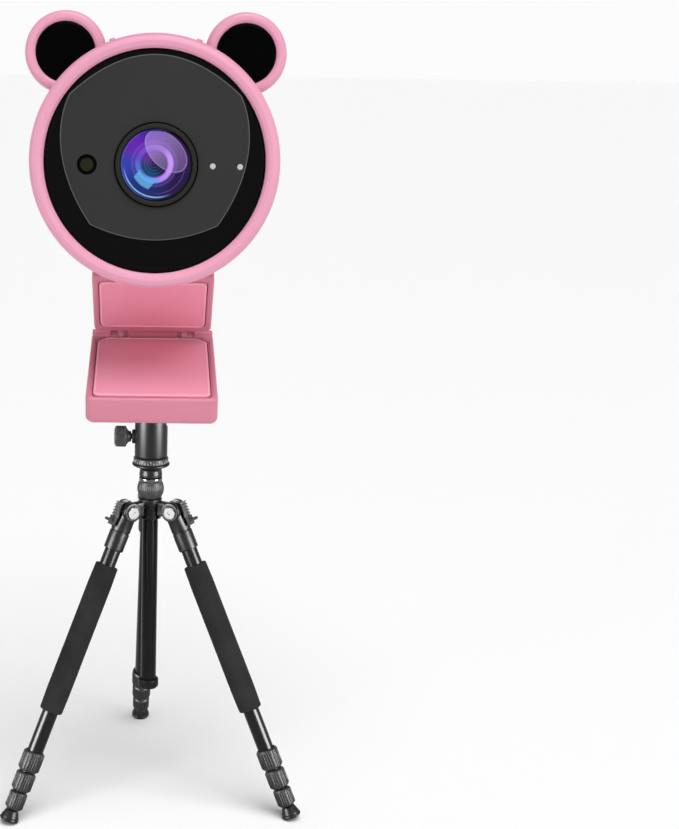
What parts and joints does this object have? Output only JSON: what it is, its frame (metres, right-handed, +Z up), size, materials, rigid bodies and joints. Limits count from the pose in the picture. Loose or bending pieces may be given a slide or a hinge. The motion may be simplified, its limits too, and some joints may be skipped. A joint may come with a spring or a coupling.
{
  "type": "webcam on tripod",
  "caption": "Round webcam with two ears on a padded folding clip, tilted on the ball head of a small folding tripod with telescopic legs and a centre column.",
  "frame": {"origin": "on the ground, under the middle of the bounding box", "axes": "+Z up, the lens looks toward -Y, +X to the right as seen from in front"},
  "size_m": [0.0842, 0.0756, 0.2194],
  "materials": {
    "pink_shell": "satin moulded pink plastic, fine grain",
    "salmon_plastic": "satin moulded salmon-pink plastic",
    "salmon_pad": "soft matt salmon-pink pad",
    "panel_black": "gloss black window",
    "mask_grey": "gloss charcoal print",
    "sensor_window": "dark translucent window",
    "ear_black": "gloss black insert",
    "lens_glass": "coated lens with a violet and blue sheen",
    "lens_black": "matt black barrel",
    "circuit_board": "green solder mask",
    "black_paint": "satin black coat",
    "black_anodised": "glossy black anodised",
    "black_rubber": "matt ribbed rubber",
    "grey_foam": "matt foam rubber",
    "steel": "bright satin steel",
    "stop_metal": "worn satin steel",
    "ball_chrome": "polished",
    "brass": "turned"
  },
  "bodies": {
    "crown": {"crown": "black_paint", "leg_left_pivot_bolt": "steel", "leg_right_pivot_bolt": "steel", "leg_rear_pivot_bolt": "steel"},
    "column_lock_collar": {"column_lock_collar": "black_rubber"},
    "column": {"centre_column": "black_anodised", "column_end_cap": "black_rubber", "pan_base": "black_paint"},
    "ball_housing": {"ball_housing": "black_paint"},
    "clamp_knob": {"clamp_knob": "black_rubber"},
    "tilt_ball": {"tilt_ball": "ball_chrome"},
    "clip_base": {"camera_platform": "black_paint", "clip_base": "salmon_plastic", "clip_base_pad": "salmon_pad", "thread_insert": "brass", "clip_hinge_pin": "steel"},
    "clip_leaf": {"clip_leaf": "salmon_plastic", "clip_leaf_pad": "salmon_pad"},
    "swivel_post": {"swivel_post": "salmon_plastic", "tilt_pin": "steel"},
    "head": {"rear_housing": "pink_shell", "front_ring": "pink_shell", "front_panel": "panel_black", "mask_panel": "mask_grey", "ear_pad_left": "ear_black", "ear_pad_right": "ear_black", "light_sensor_window": "sensor_window", "lens_bezel": "mask_grey", "lens_glass": "lens_glass", "lens_barrel": "lens_black", "main_board": "circuit_board"},
    "leg_left": {"leg_left_upper": "black_anodised", "leg_left_grip": "grey_foam"},
    "leg_left_angle_stop": {"leg_left_angle_stop": "stop_metal"},
    "leg_left_twist_lock_1": {"leg_left_twist_lock_1": "black_rubber"},
    "leg_left_twist_lock_2": {"leg_left_twist_lock_2": "black_rubber"},
    "leg_left_twist_lock_3": {"leg_left_twist_lock_3": "black_rubber"},
    "leg_left_section_2": {"leg_left_section_2": "black_anodised"},
    "leg_left_section_3": {"leg_left_section_3": "black_anodised"},
    "leg_left_section_4": {"leg_left_section_4": "black_anodised", "leg_left_foot": "black_rubber"},
    "leg_right": {"leg_right_upper": "black_anodised", "leg_right_grip": "grey_foam"},
    "leg_right_angle_stop": {"leg_right_angle_stop": "stop_metal"},
    "leg_right_twist_lock_1": {"leg_right_twist_lock_1": "black_rubber"},
    "leg_right_twist_lock_2": {"leg_right_twist_lock_2": "black_rubber"},
    "leg_right_twist_lock_3": {"leg_right_twist_lock_3": "black_rubber"},
    "leg_right_section_2": {"leg_right_section_2": "black_anodised"},
    "leg_right_section_3": {"leg_right_section_3": "black_anodised"},
    "leg_right_section_4": {"leg_right_section_4": "black_anodised", "leg_right_foot": "black_rubber"},
    "leg_rear": {"leg_rear_upper": "black_anodised"},
    "leg_rear_angle_stop": {"leg_rear_angle_stop": "stop_metal"},
    "leg_rear_twist_lock_1": {"leg_rear_twist_lock_1": "black_rubber"},
    "leg_rear_twist_lock_2": {"leg_rear_twist_lock_2": "black_rubber"},
    "leg_rear_twist_lock_3": {"leg_rear_twist_lock_3": "black_rubber"},
    "leg_rear_section_2": {"leg_rear_section_2": "black_anodised"},
    "leg_rear_section_3": {"leg_rear_section_3": "black_anodised"},
    "leg_rear_section_4": {"leg_rear_section_4": "black_anodised", "leg_rear_foot": "black_rubber"}
  },
  "joints": [
    {"name": "column_lock_twist", "type": "hinge", "parent": "crown", "child": "column_lock_collar", "pos_m": [-0.00119, -0.01028, 0.09], "axis": [0, 0, 1], "range_deg": [0, 90]},
    {"name": "column_slide", "type": "slide", "parent": "crown", "child": "column", "axis": [0, 0, 1], "range_m": [0, 0.038]},
    {"name": "head_pan", "type": "hinge", "parent": "column", "child": "ball_housing", "pos_m": [-0.00119, -0.01028, 0.0995], "axis": [0, 0, 1], "continuous": true},
    {"name": "clamp_knob_turn", "type": "hinge", "parent": "ball_housing", "child": "clamp_knob", "pos_m": [-0.00819, -0.01028, 0.1051], "axis": [-1, 0, 0], "range_deg": [-270, 0]},
    {"name": "ball_tilt_fore_aft", "type": "hinge", "parent": "ball_housing", "child": "tilt_ball", "pos_m": [-0.00119, -0.01028, 0.1085], "axis": [1, 0, 0], "range_deg": [-32, 20]},
    {"name": "ball_tilt_sideways", "type": "hinge", "parent": "tilt_ball", "child": "clip_base", "pos_m": [-0.00119, -0.01028, 0.1085], "axis": [0, 0.9781, 0.2079], "range_deg": [-18, 18]},
    {"name": "clip_open", "type": "hinge", "parent": "clip_base", "child": "clip_leaf", "pos_m": [-0.00119, 0.00693, 0.13092], "axis": [-1, 0, 0], "range_deg": [-19, 84]},
    {"name": "head_swivel", "type": "hinge", "parent": "clip_leaf", "child": "swivel_post", "pos_m": [-0.00119, -0.01435, 0.15495], "axis": [0, -0.7193, 0.6947], "range_deg": [-60, 60]},
    {"name": "head_tilt", "type": "hinge", "parent": "swivel_post", "child": "head", "pos_m": [-0.00119, -0.01946, 0.15988], "axis": [1, 0, 0], "range_deg": [-15, 15]},
    {"name": "leg_left_spread", "type": "hinge", "parent": "crown", "child": "leg_left", "pos_m": [-0.0074, -0.01431, 0.0847], "axis": [-0.5446, 0.8387, 0], "range_deg": [-23, 0]},
    {"name": "leg_left_angle_stop_pull", "type": "slide", "parent": "leg_left", "child": "leg_left_angle_stop", "axis": [-0.7625, -0.4952, 0.4163], "range_m": [0, 0.0012]},
    {"name": "leg_left_lock_1_twist", "type": "hinge", "parent": "leg_left", "child": "leg_left_twist_lock_1", "pos_m": [-0.03341, -0.0312, 0.01696], "axis": [-0.3491, -0.2267, -0.9092], "range_deg": [0, 90]},
    {"name": "leg_left_section_2_slide", "type": "slide", "parent": "leg_left", "child": "leg_left_section_2", "axis": [-0.3491, -0.2267, -0.9092], "range_m": [0, 0.04]},
    {"name": "leg_left_lock_2_twist", "type": "hinge", "parent": "leg_left_section_2", "child": "leg_left_twist_lock_2", "pos_m": [-0.0355, -0.03256, 0.01151], "axis": [-0.3491, -0.2267, -0.9092], "range_deg": [0, 90]},
    {"name": "leg_left_section_3_slide", "type": "slide", "parent": "leg_left_section_2", "child": "leg_left_section_3", "axis": [-0.3491, -0.2267, -0.9092], "range_m": [0, 0.04]},
    {"name": "leg_left_lock_3_twist", "type": "hinge", "parent": "leg_left_section_3", "child": "leg_left_twist_lock_3", "pos_m": [-0.03753, -0.03388, 0.00623], "axis": [-0.3491, -0.2267, -0.9092], "range_deg": [0, 90]},
    {"name": "leg_left_section_4_slide", "type": "slide", "parent": "leg_left_section_3", "child": "leg_left_section_4", "axis": [-0.3491, -0.2267, -0.9092], "range_m": [0, 0.04]},
    {"name": "leg_right_spread", "type": "hinge", "parent": "crown", "child": "leg_right", "pos_m": [0.0054, -0.01364, 0.0847], "axis": [-0.454, -0.891, 0], "range_deg": [-23, 0]},
    {"name": "leg_right_angle_stop_pull", "type": "slide", "parent": "leg_right", "child": "leg_right_angle_stop", "axis": [0.8101, -0.4128, 0.4163], "range_m": [0, 0.0012]},
    {"name": "leg_right_lock_1_twist", "type": "hinge", "parent": "leg_right", "child": "leg_right_twist_lock_1", "pos_m": [0.03304, -0.02772, 0.01696], "axis": [0.3709, -0.189, -0.9092], "range_deg": [0, 90]},
    {"name": "leg_right_section_2_slide", "type": "slide", "parent": "leg_right", "child": "leg_right_section_2", "axis": [0.3709, -0.189, -0.9092], "range_m": [0, 0.04]},
    {"name": "leg_right_lock_2_twist", "type": "hinge", "parent": "leg_right_section_2", "child": "leg_right_twist_lock_2", "pos_m": [0.03526, -0.02886, 0.01151], "axis": [0.3709, -0.189, -0.9092], "range_deg": [0, 90]},
    {"name": "leg_right_section_3_slide", "type": "slide", "parent": "leg_right_section_2", "child": "leg_right_section_3", "axis": [0.3709, -0.189, -0.9092], "range_m": [0, 0.04]},
    {"name": "leg_right_lock_3_twist", "type": "hinge", "parent": "leg_right_section_3", "child": "leg_right_twist_lock_3", "pos_m": [0.03741, -0.02995, 0.00623], "axis": [0.3709, -0.189, -0.9092], "range_deg": [0, 90]},
    {"name": "leg_right_section_4_slide", "type": "slide", "parent": "leg_right_section_3", "child": "leg_right_section_4", "axis": [0.3709, -0.189, -0.9092], "range_m": [0, 0.04]},
    {"name": "leg_rear_spread", "type": "hinge", "parent": "crown", "child": "leg_rear", "pos_m": [-0.00158, -0.00289, 0.0847], "axis": [0.9986, 0.0523, 0], "range_deg": [-23, 0]},
    {"name": "leg_rear_angle_stop_pull", "type": "slide", "parent": "leg_rear", "child": "leg_rear_angle_stop", "axis": [-0.0476, 0.908, 0.4163], "range_m": [0, 0.0012]},
    {"name": "leg_rear_lock_1_twist", "type": "hinge", "parent": "leg_rear", "child": "leg_rear_twist_lock_1", "pos_m": [-0.0032, 0.02808, 0.01696], "axis": [-0.0218, 0.4157, -0.9092], "range_deg": [0, 90]},
    {"name": "leg_rear_section_2_slide", "type": "slide", "parent": "leg_rear", "child": "leg_rear_section_2", "axis": [-0.0218, 0.4157, -0.9092], "range_m": [0, 0.04]},
    {"name": "leg_rear_lock_2_twist", "type": "hinge", "parent": "leg_rear_section_2", "child": "leg_rear_twist_lock_2", "pos_m": [-0.00333, 0.03057, 0.01151], "axis": [-0.0218, 0.4157, -0.9092], "range_deg": [0, 90]},
    {"name": "leg_rear_section_3_slide", "type": "slide", "parent": "leg_rear_section_2", "child": "leg_rear_section_3", "axis": [-0.0218, 0.4157, -0.9092], "range_m": [0, 0.04]},
    {"name": "leg_rear_lock_3_twist", "type": "hinge", "parent": "leg_rear_section_3", "child": "leg_rear_twist_lock_3", "pos_m": [-0.00346, 0.03298, 0.00623], "axis": [-0.0218, 0.4157, -0.9092], "range_deg": [0, 90]},
    {"name": "leg_rear_section_4_slide", "type": "slide", "parent": "leg_rear_section_3", "child": "leg_rear_section_4", "axis": [-0.0218, 0.4157, -0.9092], "range_m": [0, 0.04]}
  ]
}
